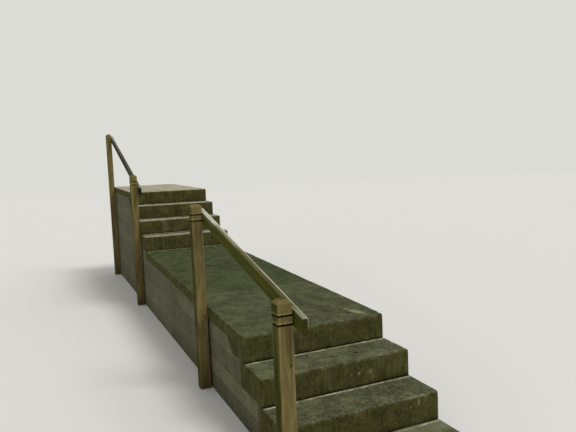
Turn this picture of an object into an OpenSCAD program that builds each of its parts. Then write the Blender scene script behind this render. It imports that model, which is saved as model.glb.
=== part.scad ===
// Outdoor garden steps: two short flights of cast step blocks joined by a long sloping landing,
// with a timber handrail on posts along the left side of each flight.
// Sizes are in millimetres. +X points right, +Y up the run and +Z up.
// The origin is the middle of the footprint, on the level that the walls and posts stand on.

/* [Flights] */
// Width of the treads and slabs
stair_w = 1140; // [900:10:1600]
// Height of one riser
riser = 190; // [150:1:210]
// Going of each tread in the lower flight
lower_going = 320; // [280:5:400]
// Going of each tread in the upper flight
upper_going = 345; // [280:5:400]
// Length of block that carries the next piece
bearing = 80; // [50:5:120]
// Rise across each tread, so that it sheds water
tread_fall = 3; // [0:1:6]
// Radius of the worn nosings
nosing_r = 16; // [6:1:30]
// Radius of the front corners of the treads, seen from above
corner_r = 12; // [4:1:30]

/* [Slabs] */
// Thickness of the slabs
slab_t = 100; // [75:5:125]
// Length of the foot slab in front of the bottom riser
foot_len = 610; // [450:10:1200]
// Fall across the foot slab
foot_fall = 6; // [0:1:12]
// Length of the landing between the two flights
landing_len = 3840; // [2600:20:5000]
// Rise along the landing
landing_rise = 127; // [40:1:200]
// Length of the top landing
top_len = 2375; // [2260:5:3200]
// Rise along the top landing
top_rise = 60; // [0:1:120]
// Depth of the thickened front edge of a landing
edge_depth = 260; // [200:10:400]
// Chamfer of the tooled joints and of the slab ends
tooled = 7; // [3:1:12]

/* [Walls] */
// Thickness of the side walls
wall_t = 150; // [100:10:220]
// Thickness of the walls across the run
cross_t = 150; // [100:10:160]
// How far the treads oversail the walls
oversail = 14; // [5:1:40]

/* [Posts] */
// Side of the square posts
post_w = 89; // [70:1:120]
// Easing of the long corners of the posts
post_ease = 4; // [1:1:10]
// Height of the bevelled head
bevel_h = 22; // [10:1:45]
// How far the bevel draws in on each side
bevel_in = 22; // [5:1:30]
// Bevel edge to the middle of the first groove
groove_drop = 64; // [40:1:100]
// Spacing of the two grooves
groove_pitch = 50; // [25:1:80]
// Width of a groove at its mouth
groove_w = 11; // [4:1:18]
// Depth of a groove
groove_d = 6; // [2:1:10]

/* [Post places] */
// Bottom riser to the back of the lower rail's low post, measured down the run
post_1_ahead = 137; // [60:1:300]
// Landing nosing to the front of the lower rail's high post
post_2_back = 883; // [200:1:1200]
// Foot of the upper flight to the front of its low post
post_3_back = 387; // [20:1:800]
// Top nosing to the front of the upper rail's high post
post_4_back = 2055; // [1200:5:2130]
// Height of post 1 above the foot slab
post_1_rise = 1014; // [900:1:1100]
// Height of post 2 above the landing
post_2_rise = 850; // [750:1:1000]
// Height of post 3 above the foot of the upper flight
post_3_rise = 1018; // [900:1:1100]
// Height of post 4 above the top landing
post_4_rise = 962; // [850:1:1100]

/* [Rails] */
// Thickness of the rails
rail_t = 38; // [25:1:50]
// Depth of the rails, square to their slope
rail_d = 89; // [70:1:140]
// Easing of the long corners of the rails
rail_ease = 4; // [1:1:8]
// Top of post 1 down to the top of the rail
rail_1_drop = 45; // [10:1:150]
// Top of post 2 down to the top of the rail
rail_2_drop = 55; // [10:1:150]
// Top of post 3 down to the top of the rail
rail_3_drop = 135; // [10:1:150]
// Top of post 4 down to the top of the rail
rail_4_drop = 55; // [10:1:150]
// Lower rail past the front of post 1
lower_rail_past_low = 112; // [20:1:250]
// Lower rail past the back of post 2
lower_rail_past_high = 14; // [5:1:100]
// Upper rail past the front of post 3
upper_rail_past_low = 97; // [20:1:250]
// Upper rail past the back of post 4
upper_rail_past_high = 41; // [5:1:100]

/* [Hidden] */
$fn = 48;

// Number of step blocks in each flight, the thickened slab edge being the last riser
lower_blocks = 2;
upper_blocks = 3;
landing_slabs = 3;
top_slabs = 2;

// Places along the run, counted from the landing's nosing
foot_riser_y = -lower_blocks * lower_going;
foot_front_y = foot_riser_y - foot_len;
foot_back_y = foot_riser_y + bearing;
upper_foot_y = landing_len;
landing_back_y = upper_foot_y + bearing;
top_y = upper_foot_y + upper_blocks * upper_going;
top_end_y = top_y + top_len;

// Levels
foot_z = slab_t;
landing_z = foot_z + (lower_blocks + 1) * riser;
upper_foot_z = landing_z + landing_rise;
top_z = upper_foot_z + (upper_blocks + 1) * riser;

// Post places, front face of each along the run
post_1_y = foot_riser_y - post_1_ahead - post_w;
post_2_y = post_2_back;
post_3_y = upper_foot_y + post_3_back;
post_4_y = top_y + post_4_back;

// Post tops
post_1_z = foot_z + post_1_rise;
post_2_z = landing_level(post_2_y + post_w / 2) + post_2_rise;
post_3_z = upper_foot_z + post_3_rise;
post_4_z = top_level(post_4_y + post_w / 2) + post_4_rise;

// The footprint's middle
mid_x = (-stair_w - post_w) / 2;
mid_y = (foot_front_y + top_end_y) / 2;

concrete = [0.47, 0.46, 0.38];
wall_concrete = [0.42, 0.41, 0.35];
post_pine = [0.55, 0.46, 0.30];
rail_pine = [0.50, 0.45, 0.33];

// Level of a sloping surface at a place along the run
function landing_level(y) = landing_z + landing_rise * y / landing_len;
function top_level(y) = top_z + top_rise * (y - top_y) / top_len;

// Level of the block tops at their nosings and at the back, where the next piece sits
function lower_nosing_z(i) = foot_z + i * riser;
function upper_nosing_z(i) = upper_foot_z + i * riser;
function lower_seat_z(i) = i == 0 ? foot_z : lower_nosing_z(i) + tread_fall;
function upper_seat_z(i) = i == 0 ? upper_foot_z : upper_nosing_z(i) + tread_fall;
function lower_front_y(i) = foot_riser_y + (i - 1) * lower_going;
function upper_front_y(i) = upper_foot_y + (i - 1) * upper_going;

// Height of the haunch under a slab's thickened edge, up to where it meets the plain slab
function haunch_h(z0, slope, seat_z) = (z0 + slope * edge_depth - slab_t - seat_z) / (1 - slope);

// Puts the model on its origin
module placed() {
    translate([-mid_x, -mid_y, 0])
        children();
}

// Extrudes an outline drawn along the run and up, from x0 over a width
module across(x0, w) {
    translate([x0, 0, 0])
        rotate([90, 0, 90])
            linear_extrude(height = w)
                children();
}

// Rounds the front top corner of the outline drawn by the children
module with_nosing(y, z) {
    difference() {
        children();
        difference() {
            translate([y - 1, z - nosing_r])
                square([nosing_r + 1, nosing_r + 1]);
            translate([y + nosing_r, z - nosing_r])
                circle(r = nosing_r);
        }
    }
}

// Cuts the children to a tread's plan from y0 to y1, its two front corners rounded
module with_front_corners(y0, y1) {
    intersection() {
        children();
        linear_extrude(height = top_level(top_end_y)) {
            translate([-stair_w, y0 + corner_r])
                square([stair_w, y1 - y0 - corner_r]);
            translate([-stair_w + corner_r, y0])
                square([stair_w - 2 * corner_r, 2 * corner_r]);
            for (x = [-stair_w + corner_r, -corner_r])
                translate([x, y0 + corner_r])
                    circle(r = corner_r);
        }
    }
}

// One step block: front face at y, underside at z0, nosing at z1, seat for the next piece behind
module step_block(y, z0, z1, going) {
    back = y + going + bearing;
    with_front_corners(y, back)
        across(-stair_w, stair_w)
            with_nosing(y, z1)
                polygon([
                    [y, z0], [back, z0], [back, z1 + tread_fall],
                    [y + going, z1 + tread_fall], [y, z1]
                ]);
}

module lower_step(i) {
    color(concrete)
        placed()
            step_block(lower_front_y(i), lower_seat_z(i - 1), lower_nosing_z(i), lower_going);
}

module upper_step(i) {
    color(concrete)
        placed()
            step_block(upper_front_y(i), upper_seat_z(i - 1), upper_nosing_z(i), upper_going);
}

module foot_slab() {
    front_z = foot_z - foot_fall;
    color(concrete)
        placed()
            with_front_corners(foot_front_y, foot_back_y)
                across(-stair_w, stair_w)
                    polygon([
                        [foot_front_y, 0], [foot_back_y, 0], [foot_back_y, foot_z],
                        [foot_riser_y, foot_z], [foot_front_y + tooled, front_z],
                        [foot_front_y, front_z - tooled]
                    ]);
}

// Plain slab between two places, with tooled arrises at the joints it has
module plain_slab(y0, y1, z0, z1) {
    across(-stair_w, stair_w)
        polygon([
            [y0, z0 - slab_t], [y1, z1 - slab_t], [y1, z1 - tooled],
            [y1 - tooled, z1], [y0 + tooled, z0], [y0, z0 - tooled]
        ]);
}

// Slab with a turned-down front edge that forms the last riser of a flight
module edge_slab(y0, y1, z0, z1, seat_z) {
    haunch_y = y0 + edge_depth;
    haunch = haunch_h(z0, (z1 - z0) / (y1 - y0), seat_z);
    with_front_corners(y0, y1)
        across(-stair_w, stair_w)
            with_nosing(y0, z0)
                polygon([
                    [y0, seat_z], [haunch_y, seat_z], [haunch_y + haunch, seat_z + haunch],
                    [y1, z1 - slab_t], [y1, z1 - tooled], [y1 - tooled, z1], [y0, z0]
                ]);
}

function landing_joint(i) = landing_len * i / landing_slabs;
function top_joint(i) = top_y + top_len * i / top_slabs;

module landing_slab_1() {
    color(concrete)
        placed()
            edge_slab(0, landing_joint(1), landing_z, landing_level(landing_joint(1)),
                lower_seat_z(lower_blocks));
}

module landing_slab_2() {
    color(concrete)
        placed()
            plain_slab(landing_joint(1), landing_joint(2),
                landing_level(landing_joint(1)), landing_level(landing_joint(2)));
}

// The last slab runs on under the upper flight, with a level seat for its bottom block
module landing_slab_3() {
    y0 = landing_joint(2);
    z0 = landing_level(y0);
    color(concrete)
        placed()
            across(-stair_w, stair_w)
                polygon([
                    [y0, z0 - slab_t], [landing_back_y, landing_level(landing_back_y) - slab_t],
                    [landing_back_y, upper_foot_z], [upper_foot_y, upper_foot_z],
                    [y0 + tooled, z0], [y0, z0 - tooled]
                ]);
}

module top_slab_1() {
    color(concrete)
        placed()
            edge_slab(top_y, top_joint(1), top_z, top_level(top_joint(1)),
                upper_seat_z(upper_blocks));
}

module top_slab_2() {
    color(concrete)
        placed()
            plain_slab(top_joint(1), top_end_y, top_level(top_joint(1)), top_level(top_end_y));
}

// Places a wall outline on the left or the right side of the run
module side_wall(side) {
    x0 = side == "left" ? -stair_w + oversail : -oversail - wall_t;
    color(wall_concrete)
        placed()
            across(x0, wall_t)
                children();
}

// Full-width wall across the run
module front_wall(y0, y1, z) {
    color(wall_concrete)
        placed()
            translate([-stair_w + oversail, y0, 0])
                cube([stair_w - 2 * oversail, y1 - y0, z]);
}

// Wall across the run between the side walls, its top following the slab
module cross_wall(y0, y1, z0, z1) {
    inset = oversail + wall_t;
    color(wall_concrete)
        placed()
            across(-stair_w + inset, stair_w - 2 * inset)
                polygon([[y0, 0], [y1, 0], [y1, z1], [y0, z0]]);
}

module lower_wall(side) {
    step_y = lower_front_y(2) + bearing;
    end_y = bearing;
    side_wall(side)
        polygon([
            [foot_back_y, 0], [end_y, 0], [end_y, lower_seat_z(1)],
            [step_y, lower_seat_z(1)], [step_y, foot_z], [foot_back_y, foot_z]
        ]);
}

module landing_side_wall(side) {
    slope = landing_rise / landing_len;
    seat_z = lower_seat_z(lower_blocks);
    h = haunch_h(landing_z, slope, seat_z);
    side_wall(side)
        polygon([
            [edge_depth, 0], [landing_back_y, 0],
            [landing_back_y, landing_level(landing_back_y) - slab_t],
            [edge_depth + h, seat_z + h], [edge_depth, seat_z]
        ]);
}

module upper_wall(side) {
    seat_1_y = upper_front_y(2) + bearing;
    seat_2_y = upper_front_y(3) + bearing;
    end_y = top_y + bearing;
    side_wall(side)
        polygon([
            [landing_back_y, 0], [end_y, 0], [end_y, upper_seat_z(2)],
            [seat_2_y, upper_seat_z(2)], [seat_2_y, upper_seat_z(1)],
            [seat_1_y, upper_seat_z(1)], [seat_1_y, upper_foot_z],
            [landing_back_y, upper_foot_z]
        ]);
}

module top_side_wall(side) {
    slope = top_rise / top_len;
    seat_z = upper_seat_z(upper_blocks);
    h = haunch_h(top_z, slope, seat_z);
    y0 = top_y + edge_depth;
    y1 = top_end_y - cross_t;
    side_wall(side)
        polygon([
            [y0, 0], [y1, 0], [y1, top_level(y1) - slab_t], [y0 + h, seat_z + h], [y0, seat_z]
        ]);
}

module landing_front_wall() {
    front_wall(bearing, edge_depth, lower_seat_z(lower_blocks));
}

module top_front_wall() {
    front_wall(top_y + bearing, top_y + edge_depth, upper_seat_z(upper_blocks));
}

module top_end_wall() {
    y0 = top_end_y - cross_t;
    color(wall_concrete)
        placed()
            across(-stair_w + oversail, stair_w - 2 * oversail)
                polygon([
                    [y0, 0], [top_end_y, 0], [top_end_y, top_level(top_end_y) - slab_t],
                    [y0, top_level(y0) - slab_t]
                ]);
}

module landing_cross_wall(i) {
    y0 = landing_joint(i) - cross_t / 2;
    y1 = landing_joint(i) + cross_t / 2;
    cross_wall(y0, y1, landing_level(y0) - slab_t, landing_level(y1) - slab_t);
}

module landing_back_wall() {
    y0 = landing_back_y - cross_t;
    cross_wall(y0, landing_back_y, landing_level(y0) - slab_t,
        landing_level(landing_back_y) - slab_t);
}

// Side outline of a post, with its bevelled head and the two V-grooves
module post_outline(h) {
    r = post_w / 2;
    bevel_z = h - bevel_h;
    g1 = bevel_z - groove_drop;
    g2 = g1 - groove_pitch;
    half = [
        [r, 0], [r, g2 - groove_w / 2], [r - groove_d, g2], [r, g2 + groove_w / 2],
        [r, g1 - groove_w / 2], [r - groove_d, g1], [r, g1 + groove_w / 2],
        [r, bevel_z], [r - bevel_in, h]
    ];
    last = len(half) - 1;
    polygon(concat(half, [for (i = [0:last]) [-half[last - i][0], half[last - i][1]]]));
}

// Square outline with rounded corners
module eased_square(w, d, r) {
    translate([r, 0])
        square([w - 2 * r, d]);
    translate([0, r])
        square([w, d - 2 * r]);
    for (x = [r, w - r], y = [r, d - r])
        translate([x, y])
            circle(r = r);
}

// A post beside the treads: the same outline cut both ways, and eased along its corners
module post(y, h) {
    color(post_pine)
        placed()
            translate([-stair_w - post_w, y, 0])
                intersection() {
                    linear_extrude(height = h)
                        eased_square(post_w, post_w, post_ease);
                    translate([post_w / 2, post_w, 0])
                        rotate([90, 0, 0])
                            linear_extrude(height = post_w)
                                post_outline(h);
                    translate([0, post_w / 2, 0])
                        rotate([90, 0, 90])
                            linear_extrude(height = post_w)
                                post_outline(h);
                }
}

// A rail on the stair side of two posts, its top passing through two places, its ends cut plumb
module rail(ya, za, yb, zb, y0, y1) {
    slope = (zb - za) / (yb - ya);
    angle = atan(slope);
    spare = rail_d;
    run = (y1 - y0 + 2 * spare) / cos(angle);
    color(rail_pine)
        placed()
            intersection() {
                translate([-stair_w, y0 - spare, za + slope * (y0 - spare - ya)])
                    rotate([angle - 90, 0, 0])
                        linear_extrude(height = run)
                            eased_square(rail_t, rail_d, rail_ease);
                translate([-stair_w - 1, y0, 0])
                    cube([rail_t + 2, y1 - y0, post_4_z + top_z]);
            }
}

module lower_rail() {
    rail(post_1_y + post_w / 2, post_1_z - rail_1_drop, post_2_y + post_w / 2, post_2_z - rail_2_drop,
        post_1_y - lower_rail_past_low, post_2_y + post_w + lower_rail_past_high);
}

module upper_rail() {
    rail(post_3_y + post_w / 2, post_3_z - rail_3_drop, post_4_y + post_w / 2, post_4_z - rail_4_drop,
        post_3_y - upper_rail_past_low, post_4_y + post_w + upper_rail_past_high);
}

foot_slab();
lower_step(1);  // lower_step_1
lower_step(2);  // lower_step_2
landing_slab_1();
landing_slab_2();
landing_slab_3();
upper_step(1);  // upper_step_1
upper_step(2);  // upper_step_2
upper_step(3);  // upper_step_3
top_slab_1();
top_slab_2();
lower_wall("left");  // lower_left_wall
lower_wall("right");  // lower_right_wall
landing_front_wall();
landing_side_wall("left");  // landing_left_wall
landing_side_wall("right");  // landing_right_wall
landing_cross_wall(1);  // landing_cross_wall_1
landing_cross_wall(2);  // landing_cross_wall_2
landing_back_wall();
upper_wall("left");  // upper_left_wall
upper_wall("right");  // upper_right_wall
top_front_wall();
top_side_wall("left");  // top_left_wall
top_side_wall("right");  // top_right_wall
top_end_wall();
post(post_1_y, post_1_z);  // lower_rail_low_post
post(post_2_y, post_2_z);  // lower_rail_high_post
post(post_3_y, post_3_z);  // upper_rail_low_post
post(post_4_y, post_4_z);  // upper_rail_high_post
lower_rail();
upper_rail();
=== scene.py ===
import math
import random

import bmesh
import bpy
import numpy as np
from bpy.props import FloatProperty, FloatVectorProperty, IntProperty, PointerProperty
from mathutils import Matrix, Vector


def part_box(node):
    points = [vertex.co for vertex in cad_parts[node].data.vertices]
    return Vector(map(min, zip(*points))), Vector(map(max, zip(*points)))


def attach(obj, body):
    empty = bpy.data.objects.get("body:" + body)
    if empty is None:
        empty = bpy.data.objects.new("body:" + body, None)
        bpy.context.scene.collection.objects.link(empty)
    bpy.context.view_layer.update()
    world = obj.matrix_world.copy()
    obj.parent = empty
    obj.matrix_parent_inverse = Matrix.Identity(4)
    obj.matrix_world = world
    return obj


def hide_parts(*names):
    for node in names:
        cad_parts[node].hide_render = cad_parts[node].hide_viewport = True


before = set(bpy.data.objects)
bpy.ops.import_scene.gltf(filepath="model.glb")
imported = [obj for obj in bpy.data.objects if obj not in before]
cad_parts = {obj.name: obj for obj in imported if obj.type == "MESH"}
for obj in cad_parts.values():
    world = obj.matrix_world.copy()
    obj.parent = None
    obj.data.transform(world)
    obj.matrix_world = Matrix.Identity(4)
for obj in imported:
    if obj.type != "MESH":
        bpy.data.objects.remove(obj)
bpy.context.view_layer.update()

bl_info = {
    "name": "Garden steps",
    "version": (1, 0, 0),
    "blender": (4, 5, 0),
    "location": "View3D > Sidebar > Garden Steps",
    "description": "Worn cast treads, weathered timber handrails and a plain stage",
    "category": "Object",
}

BODY = "root"

# Pieces of the frame that are made as worn castings, each with the spacing of its mesh, how far
# its top is painted pale (partly weathering, partly painted sunlight) and how much algae covers it
TREADS = {
    "foot_slab": (0.0085, 0.0, 0.05),
    "lower_step_1": (0.0055, 0.0, 0.0),
    "lower_step_2": (0.0055, 0.0, 0.0),
    "landing_slab_1": (0.0075, 0.0, 0.40),
    "landing_slab_2": (0.0110, 0.0, 0.82),
    "landing_slab_3": (0.0110, 0.0, 0.68),
    "upper_step_1": (0.0085, 0.58, 0.0),
    "upper_step_2": (0.0085, 0.76, 0.0),
    "upper_step_3": (0.0085, 0.82, 0.0),
    "top_slab_1": (0.0110, 1.0, 0.0),
    "top_slab_2": (0.0120, 1.0, 0.0),
}
# Pieces whose front face is a riser, from the foot up
RISERS = [name for name in TREADS if "_step_" in name or name.endswith("_slab_1")]
WALLS = [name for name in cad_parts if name.endswith("_wall") or "_wall_" in name]
# Each rail with its low and its high post
RAILS = {
    "lower_rail": ("lower_rail_low_post", "lower_rail_high_post"),
    "upper_rail": ("upper_rail_low_post", "upper_rail_high_post"),
}
POSTS = [post for posts in RAILS.values() for post in posts]

# Marks that show on the steps, by piece and kind: both ends of the mark, its radius, its strength
MARKS = {
    ("foot_slab", "mark_pale"): [
        ((0.300, -3.690, 0.100), (0.580, -3.710, 0.100), 0.075, 0.34),
    ],
    ("lower_step_1", "mark_pale"): [
        ((0.452, -3.640, 0.269), (0.451, -3.640, 0.229), 0.005, 0.70),
        ((0.387, -3.640, 0.222), (0.388, -3.640, 0.236), 0.005, 0.55),
        ((0.325, -3.632, 0.286), (0.388, -3.633, 0.286), 0.0045, 0.32),
        ((0.392, -3.633, 0.286), (0.510, -3.636, 0.286), 0.0045, 0.50),
    ],
    ("lower_step_1", "mark_stain"): [
        ((0.030, -3.526, 0.292), (0.044, -3.530, 0.292), 0.014, 0.65),
        ((0.066, -3.522, 0.292), (0.084, -3.524, 0.292), 0.010, 0.65),
    ],
    ("lower_step_2", "mark_pale"): [
        ((0.195, -3.320, 0.384), (0.200, -3.320, 0.384), 0.011, 0.55),
        ((0.284, -3.320, 0.376), (0.284, -3.320, 0.390), 0.009, 0.50),
        ((0.139, -3.320, 0.384), (0.139, -3.320, 0.384), 0.007, 0.50),
    ],
    ("lower_step_2", "mark_dark"): [
        ((0.247, -3.179, 0.481), (0.262, -3.179, 0.481), 0.013, 0.80),
        ((0.319, -3.306, 0.479), (0.319, -3.306, 0.479), 0.008, 0.95),
        ((0.345, -3.312, 0.476), (0.345, -3.312, 0.476), 0.007, 0.95),
        ((0.372, -3.316, 0.470), (0.384, -3.316, 0.470), 0.006, 0.95),
    ],
    ("landing_slab_1", "mark_pale"): [
        ((0.430, -2.740, 0.679), (0.452, -2.815, 0.675), 0.014, 0.50),
        ((0.456, -2.820, 0.675), (0.474, -2.880, 0.673), 0.037, 0.72),
        ((0.478, -2.885, 0.673), (0.494, -2.935, 0.672), 0.016, 0.48),
        ((0.330, -2.860, 0.675), (0.400, -2.915, 0.675), 0.030, 0.13),
    ],
    ("landing_slab_1", "mark_dark"): [
        ((0.396, -2.842, 0.675), (0.396, -2.842, 0.675), 0.015, 0.95),
        ((0.035, -3.000, 0.604), (0.034, -3.000, 0.580), 0.006, 0.80),
    ],
    ("upper_step_2", "mark_pale"): [
        ((-0.192, 1.185, 1.150), (-0.192, 1.185, 1.040), 0.034, 0.18),
    ],
}

# Ranges that values are eased from or into
UNIT = (0.0, 1.0)
FADING = (1.0, 0.0)
# Most values of a noise, and of the coarsest noise of a cast face
NOISE_RANGE = (0.3, 0.7)
CRUMB_RANGE = (0.36, 0.64)


def linear(step):
    """One channel of a colour, from a display step of 0 to 255 to a linear value by sRGB's curve."""
    v = step / 255
    return v / 12.92 if v <= 0.04045 else ((v + 0.055) / 1.055) ** 2.4


def colour(name, description, *steps):
    """A colour property, from display steps of red, green and blue."""
    return FloatVectorProperty(
        name=name, description=description, subtype="COLOR", size=4, min=0, max=1,
        default=(*[linear(step) for step in steps], 1.0))


def length(name, description, value, top=1.0):
    """A length property, in metres."""
    return FloatProperty(
        name=name, description=description, default=value, min=0, max=top,
        unit="LENGTH", subtype="DISTANCE", precision=4)


def level(name, description, value):
    """A property for the level of a light."""
    return FloatProperty(name=name, description=description, default=value, min=0)


def seed_of(description, value):
    """A seed property."""
    return IntProperty(name="Seed", description="Seed of " + description, default=value, min=0)


class ConcreteSettings(bpy.types.PropertyGroup):
    """Sizes and colours of the cast treads, slabs and walls"""
    tread: colour("Tread", "Top faces of the treads and slabs", 88, 89, 65)
    riser: colour("Riser", "Front faces of the steps", 72, 69, 37)
    # Pale tops: partly weathered in the open, partly painted sunlight
    bleached_and_lit: colour("Bleached", "Top faces that lie in the open", 164, 160, 136)
    wall: colour("Wall", "Side and cross walls", 104, 100, 78)
    pale: colour("Pale", "Dust and broken faces", 142, 140, 112)
    lime: colour("Lime", "Lime along the joints", 174, 168, 138)
    # Dirt in joints and holes, also the painted shadow line at each riser's foot and the darker backs
    # and feet
    dirt_and_shade: colour("Dirt", "Dirt in joints and holes", 22, 20, 9)
    algae: colour("Algae", "Green growth on damp faces", 61, 68, 42)
    stain: colour("Stain", "Brown stains", 104, 58, 44)
    unevenness: length("Unevenness", "Depth of the slow waves in the faces", 0.0010)
    chip_depth: length("Chip depth", "Depth of the chips along the arrises", 0.007)
    chip_reach: length("Chip reach", "How far a chip reaches from an arris", 0.024)
    nibble: length("Nibble", "Depth of the fine wear along the arrises", 0.0014)
    corner_wear: length("Corner wear", "Depth of wear at the nosings' outer corners", 0.0015)
    corner_reach: length("Corner reach", "How far that wear reaches", 0.055)
    hollow: length("Hollow", "Depth of the dark marks", 0.004)
    pitting: length("Pitting", "Depth of the small air holes", 0.0035)
    board_height: length("Board height", "Height of the walls' shutter boards", 0.145)
    board_length: length("Board length", "Length of the walls' shutter boards", 1.8, top=5.0)
    seed: seed_of("the wear", 7)


class MortarSettings(bpy.types.PropertyGroup):
    """Sizes of the lime and mortar lines at the foot of each riser"""
    width: length("Width", "Width of the line on the tread", 0.021)
    height: length("Height", "Height of the line above the tread", 0.0052)
    gap: length("Gap", "Open joint between the line and the riser", 0.0035)
    end_gap: length("End gap", "How far the line stops short of the riser's ends", 0.02)
    wander: length("Wander", "How far the line wanders", 0.005)
    crumbs: length("Crumbs", "Depth of the crumbs in the line", 0.0012)
    seed: seed_of("the line's shape", 3)


class TimberSettings(bpy.types.PropertyGroup):
    """Sizes and colours of the posts and rails"""
    post_pale: colour("Post wood", "Pale wood of the posts", 116, 104, 64)
    post_late: colour("Post latewood", "Dark rings of the posts", 92, 80, 44)
    # The algae colours paint green growth and painted shade on the shaded sides
    post_algae: colour("Post algae", "Green growth on the posts' shaded sides", 53, 58, 8)
    # Worn colours also paint sunlit tops and highlights on lips and arrises
    post_worn: colour("Worn post", "Rubbed edges of the posts", 152, 144, 98)
    post_end: colour("Post end", "Sawn ends of the posts", 60, 56, 27)
    rail_pale: colour("Rail wood", "Pale wood of the lower rail", 88, 79, 26)
    rail_late: colour("Rail latewood", "Dark rings of the lower rail", 62, 54, 14)
    rail_algae: colour("Rail algae", "Green growth on the lower rail's shaded side", 65, 71, 22)
    # Also painted sunlight and highlights
    rail_worn: colour("Worn rail", "Bleached fibres of the lower rail", 202, 200, 180)
    rail_end: colour("Rail end", "Sawn ends of the lower rail", 47, 46, 20)
    grey_pale: colour("Grey wood", "Pale wood of the upper rail", 70, 68, 52)
    grey_late: colour("Grey latewood", "Dark rings of the upper rail", 62, 61, 48)
    grey_algae: colour("Grey algae", "Green growth on the upper rail's shaded side", 38, 43, 27)
    # Also painted sunlight and highlights
    grey_worn: colour("Worn grey rail", "Bleached fibres of the upper rail", 136, 134, 118)
    grey_end: colour("Grey end", "Sawn ends of the upper rail", 28, 26, 12)
    knot: colour("Knot", "Knots and damp stains", 46, 36, 18)
    # Dark of the cracks, and of the grooves and hidden gaps where it is also painted shade
    dirt_and_shade: colour("Dirt", "Dirt in the grooves and cracks", 15, 11, 4)
    post_rings: length("Post rings", "Spacing of the year rings of the posts", 0.0100)
    rail_rings: length("Rail rings", "Spacing of the year rings of the rails", 0.0065)
    ease: length("Easing", "Radius of the long corners", 0.004)
    bevel_height: length("Bevel height", "Height of a post's bevelled head", 0.022)
    bevel_inset: length("Bevel inset", "How far the bevel draws in", 0.022)
    groove_drop: length("Groove drop", "Bevel's edge down to the first groove", 0.064)
    groove_pitch: length("Groove pitch", "Spacing of the two grooves", 0.050)
    groove_width: length("Groove width", "Width of a groove at its mouth", 0.011)
    groove_depth: length("Groove depth", "Depth of a groove", 0.006)
    rail_depth: length("Rail depth", "Depth of a rail, square to its slope", 0.089)
    check_width: length("Check width", "Width of the drying cracks", 0.0026)
    check_depth: length("Check depth", "Depth of the drying cracks", 0.007)
    seed: seed_of("the grain and cracks", 11)


class FixingSettings(bpy.types.PropertyGroup):
    """Sizes of the bolts that hold the rails to the posts"""
    head: length("Head", "Radius of a bolt's domed head", 0.009)
    washer: length("Washer", "Radius of a washer", 0.014)
    thickness: length("Washer thickness", "Thickness of a washer", 0.002)
    spacing: length("Spacing", "Height between the two bolts of a post", 0.045)
    stagger: length("Stagger", "How far each bolt stands off the post's middle", 0.012)
    metal: colour("Metal", "Dulled zinc of the bolts", 112, 112, 106)


class StageSettings(bpy.types.PropertyGroup):
    """Floor, lamps and camera"""
    floor: colour("Floor", "The plain pale floor", 214, 213, 208)
    backdrop: colour("Backdrop", "Behind the floor, as pale as it looks", 220, 220, 214)
    sky: level("Sky", "Level of the even light", 0.62)
    key: level("Key", "Level of the main lamp", 1.7)


# Short ways to write node trees

FLOAT = "NodeSocketFloat"
VECTOR = "NodeSocketVector"
GEOMETRY = "NodeSocketGeometry"
MATERIAL = "NodeSocketMaterial"


def add_node(tree, kind, inputs=None, **settings):
    """Adds a node, sets its properties, and links or sets its inputs by name or number."""
    node = tree.nodes.new(kind)
    for name, value in settings.items():
        setattr(node, name, value)
    for key, value in (inputs or {}).items():
        if isinstance(value, bpy.types.NodeSocket):
            tree.links.new(value, node.inputs[key])
        else:
            node.inputs[key].default_value = value
    return node.outputs


def result(tree, kind, inputs=None, **settings):
    """The first output of a new node."""
    return add_node(tree, kind, inputs, **settings)[0]


def maths(tree, operation, a, b=0.0):
    """A Math node's result."""
    return result(tree, "ShaderNodeMath", {0: a, 1: b}, operation=operation)


def total(tree, first, *others):
    """The sum of several values."""
    for other in others:
        first = maths(tree, "ADD", first, other)
    return first


def product(tree, first, *others):
    """The product of several values."""
    for other in others:
        first = maths(tree, "MULTIPLY", first, other)
    return first


def rest_of(tree, share):
    """What a share leaves of one."""
    return maths(tree, "SUBTRACT", 1.0, share)


def ramp(tree, value, source, target=UNIT):
    """A value eased from one range into another."""
    return result(
        tree, "ShaderNodeMapRange",
        {"Value": value, "From Min": source[0], "From Max": source[1],
         "To Min": target[0], "To Max": target[1]},
        interpolation_type="SMOOTHSTEP")


def tone_of(tree, value, reach, source=UNIT):
    """A value turned into a tone that reaches as far above zero as below it."""
    return ramp(tree, value, source, (-reach, reach))


def mix_colour(tree, factor, a, b, blend="MIX"):
    """A Mix node's colour."""
    return add_node(
        tree, "ShaderNodeMix", {0: factor, 6: a, 7: b}, data_type="RGBA", blend_type=blend)[2]


def layered(tree, base, layers):
    """A colour with others laid over it, each by its own share."""
    for share, tint in layers:
        base = mix_colour(tree, share, base, tint)
    return base


def toned(tree, base, *tones):
    """A colour made lighter or darker by the sum of tones around zero."""
    level_now = total(tree, *tones, 1.0)
    grey = result(tree, "ShaderNodeCombineColor", {0: level_now, 1: level_now, 2: level_now})
    return mix_colour(tree, 1.0, base, grey, "MULTIPLY")


def noise(tree, vector, scale, detail, rough, seed=0.0):
    """A Noise Texture's value."""
    return result(
        tree, "ShaderNodeTexNoise",
        {"Vector": vector, "W": seed, "Scale": scale, "Detail": detail, "Roughness": rough},
        noise_dimensions="4D")


def stretched(tree, vector, along_z):
    """Coordinates whose last axis is scaled, so that noise is drawn out along it."""
    return result(
        tree, "ShaderNodeVectorMath", {0: vector, 1: (1.0, 1.0, along_z)}, operation="MULTIPLY")


def attribute(tree, name, output="Fac"):
    """One of the piece's own attributes."""
    return add_node(tree, "ShaderNodeAttribute", attribute_name=name)[output]


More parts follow.
